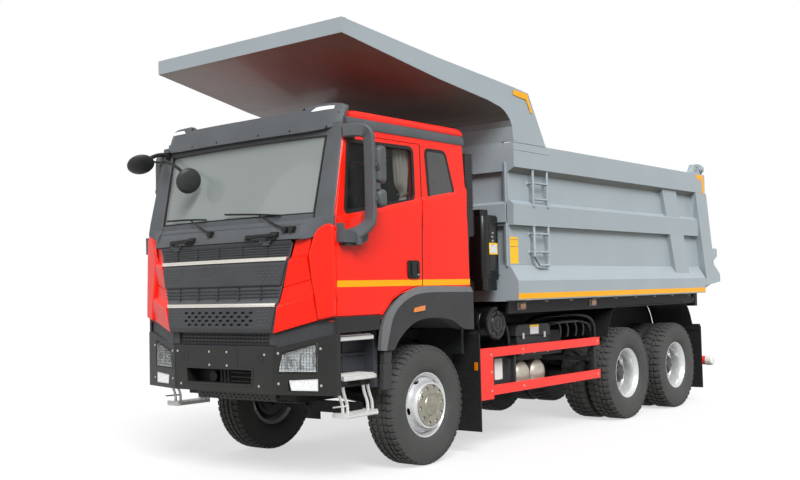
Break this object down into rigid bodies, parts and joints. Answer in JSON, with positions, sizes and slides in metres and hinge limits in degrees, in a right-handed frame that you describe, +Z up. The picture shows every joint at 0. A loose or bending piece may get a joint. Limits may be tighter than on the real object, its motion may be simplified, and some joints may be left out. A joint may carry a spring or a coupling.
{
  "type": "dump truck",
  "caption": "Three-axle dump truck with a tipping steel bed, cab-over canopy, twin rear wheels, opening doors, front lid and tailgate.",
  "frame": {"origin": "on the ground under the middle of the whole truck", "axes": "-Y is the way the truck faces, +X its left side, +Z up"},
  "size_m": [3.02, 8.2683, 4.0088],
  "materials": {
    "tyre_rubber": "satin tyre rubber",
    "wheel_silver": "silver wheel paint with polished disc",
    "chassis_black": "satin black chassis paint",
    "cast_black": "black painted castings",
    "ram_steel": "hard chromed rod",
    "cab_red": "gloss orange-red paint",
    "trim_grey": "dark grey moulded plastic",
    "tinted_glass": "tinted glass",
    "lamp_glass": "lamp units behind clear lenses",
    "mirror_black": "black moulded mirror housings",
    "bumper_black": "satin black steel",
    "step_aluminium": "brushed aluminium and dark plastic",
    "seat_fabric": "dark woven seat cloth",
    "dash_plastic": "grained dark plastic",
    "box_black": "black moulded covers",
    "tank_aluminium": "brushed aluminium",
    "guard_red": "gloss red paint",
    "flap_rubber": "ribbed black rubber and plastic",
    "bar_paint": "red and white bar paint",
    "bed_grey": "gloss mid-grey paint"
  },
  "bodies": {
    "chassis": {"axles": "cast_black", "leaf_springs": "chassis_black", "driveline": "cast_black", "chassis_frame": "chassis_black", "tipping_subframe": "chassis_black", "cab_shell": "cab_red", "cab_roof": "cab_red", "cab_glass": "tinted_glass", "sun_visor": "trim_grey", "wiper_cowl": "trim_grey", "corner_deflectors": "cab_red", "front_bumper": "bumper_black", "front_fenders": "trim_grey", "cab_steps": "step_aluminium", "seats": "seat_fabric", "dashboard": "dash_plastic", "corner_mirrors": "mirror_black", "lamps": "lamp_glass", "air_intake": "box_black", "equipment_boxes": "box_black", "tanks": "tank_aluminium", "side_guards": "guard_red", "mudguards": "flap_rubber", "underrun_bar": "bar_paint"},
    "bed": {"bed_floor": "bed_grey", "bed_underframe": "chassis_black", "bed_sides": "bed_grey", "bed_front_wall_and_canopy": "bed_grey", "bed_ladder": "bed_grey"},
    "tailgate": {"tailgate": "bed_grey"},
    "front_lid": {"front_lid": "trim_grey"},
    "hoist_barrel": {"hoist_barrel": "chassis_black"},
    "hoist_rod": {"hoist_rod": "ram_steel"},
    "steering_wheel": {"steering_wheel": "dash_plastic"},
    "door_left": {"door_left": "cab_red", "door_window_left": "tinted_glass", "door_mirror_left": "mirror_black"},
    "knuckle_left": {"steering_knuckle_left": "cast_black"},
    "front_wheel_left": {"front_tyre_left": "tyre_rubber", "front_rim_left": "wheel_silver"},
    "rear_wheels_1_left": {"twin_tyres_rear_1_left": "tyre_rubber", "twin_rims_rear_1_left": "wheel_silver"},
    "rear_wheels_2_left": {"twin_tyres_rear_2_left": "tyre_rubber", "twin_rims_rear_2_left": "wheel_silver"},
    "door_right": {"door_right": "cab_red", "door_window_right": "tinted_glass", "door_mirror_right": "mirror_black"},
    "knuckle_right": {"steering_knuckle_right": "cast_black"},
    "front_wheel_right": {"front_tyre_right": "tyre_rubber", "front_rim_right": "wheel_silver"},
    "rear_wheels_1_right": {"twin_tyres_rear_1_right": "tyre_rubber", "twin_rims_rear_1_right": "wheel_silver"},
    "rear_wheels_2_right": {"twin_tyres_rear_2_right": "tyre_rubber", "twin_rims_rear_2_right": "wheel_silver"}
  },
  "joints": [
    {"name": "bed_tip", "type": "hinge", "parent": "chassis", "child": "bed", "pos_m": [0, 3.467, 1.23], "axis": [-1, 0, 0], "range_deg": [0, 48]},
    {"name": "hoist_barrel_turn", "type": "hinge", "parent": "chassis", "child": "hoist_barrel", "pos_m": [0, 0.987, 0.8], "axis": [1, 0, 0], "range_deg": [0, 11]},
    {"name": "hoist_rod_slide", "type": "slide", "parent": "hoist_barrel", "child": "hoist_rod", "axis": [0, 0.9464, 0.3229], "range_m": [0, 0.54]},
    {"name": "tailgate_swing", "type": "hinge", "parent": "bed", "child": "tailgate", "pos_m": [0, 3.692, 3.235], "axis": [1, 0, 0], "range_deg": [0, 60]},
    {"name": "front_lid_lift", "type": "hinge", "parent": "chassis", "child": "front_lid", "pos_m": [0, -4.027, 2.086], "axis": [-1, 0, 0], "range_deg": [0, 65]},
    {"name": "steer_left", "type": "hinge", "parent": "chassis", "child": "knuckle_left", "pos_m": [0.85, -2.513, 0.561], "axis": [0, 0, 1], "range_deg": [-38, 38]},
    {"name": "front_wheel_left_spin", "type": "hinge", "parent": "knuckle_left", "child": "front_wheel_left", "pos_m": [1.023, -2.513, 0.561], "axis": [1, 0, 0], "continuous": true},
    {"name": "rear_wheels_1_left_spin", "type": "hinge", "parent": "chassis", "child": "rear_wheels_1_left", "pos_m": [0.9235, 1.462, 0.561], "axis": [1, 0, 0], "continuous": true},
    {"name": "rear_wheels_2_left_spin", "type": "hinge", "parent": "chassis", "child": "rear_wheels_2_left", "pos_m": [0.9235, 2.862, 0.561], "axis": [1, 0, 0], "continuous": true},
    {"name": "door_left_swing", "type": "hinge", "parent": "chassis", "child": "door_left", "pos_m": [1.236, -3.832, 2.1], "axis": [0, 0, -1], "range_deg": [0, 65]},
    {"name": "steer_right", "type": "hinge", "parent": "chassis", "child": "knuckle_right", "pos_m": [-0.85, -2.513, 0.561], "axis": [0, 0, 1], "range_deg": [-38, 38]},
    {"name": "front_wheel_right_spin", "type": "hinge", "parent": "knuckle_right", "child": "front_wheel_right", "pos_m": [-1.023, -2.513, 0.561], "axis": [1, 0, 0], "continuous": true},
    {"name": "rear_wheels_1_right_spin", "type": "hinge", "parent": "chassis", "child": "rear_wheels_1_right", "pos_m": [-0.9235, 1.462, 0.561], "axis": [1, 0, 0], "continuous": true},
    {"name": "rear_wheels_2_right_spin", "type": "hinge", "parent": "chassis", "child": "rear_wheels_2_right", "pos_m": [-0.9235, 2.862, 0.561], "axis": [1, 0, 0], "continuous": true},
    {"name": "door_right_swing", "type": "hinge", "parent": "chassis", "child": "door_right", "pos_m": [-1.236, -3.832, 2.1], "axis": [0, 0, 1], "range_deg": [0, 65]},
    {"name": "steering_wheel_turn", "type": "hinge", "parent": "chassis", "child": "steering_wheel", "pos_m": [0.62, -3.303, 2.2], "axis": [0, 0.5446, 0.8387], "range_deg": [-690, 690]}
  ],
  "couplings": [
    {"joint": "hoist_barrel_turn", "follows": "bed_tip", "ratio": 0.22446},
    {"joint": "hoist_rod_slide", "follows": "bed_tip", "m_per_rad": 0.6398},
    {"joint": "steer_right", "follows": "steer_left", "ratio": 1},
    {"joint": "steering_wheel_turn", "follows": "steer_left", "ratio": 18}
  ]
}
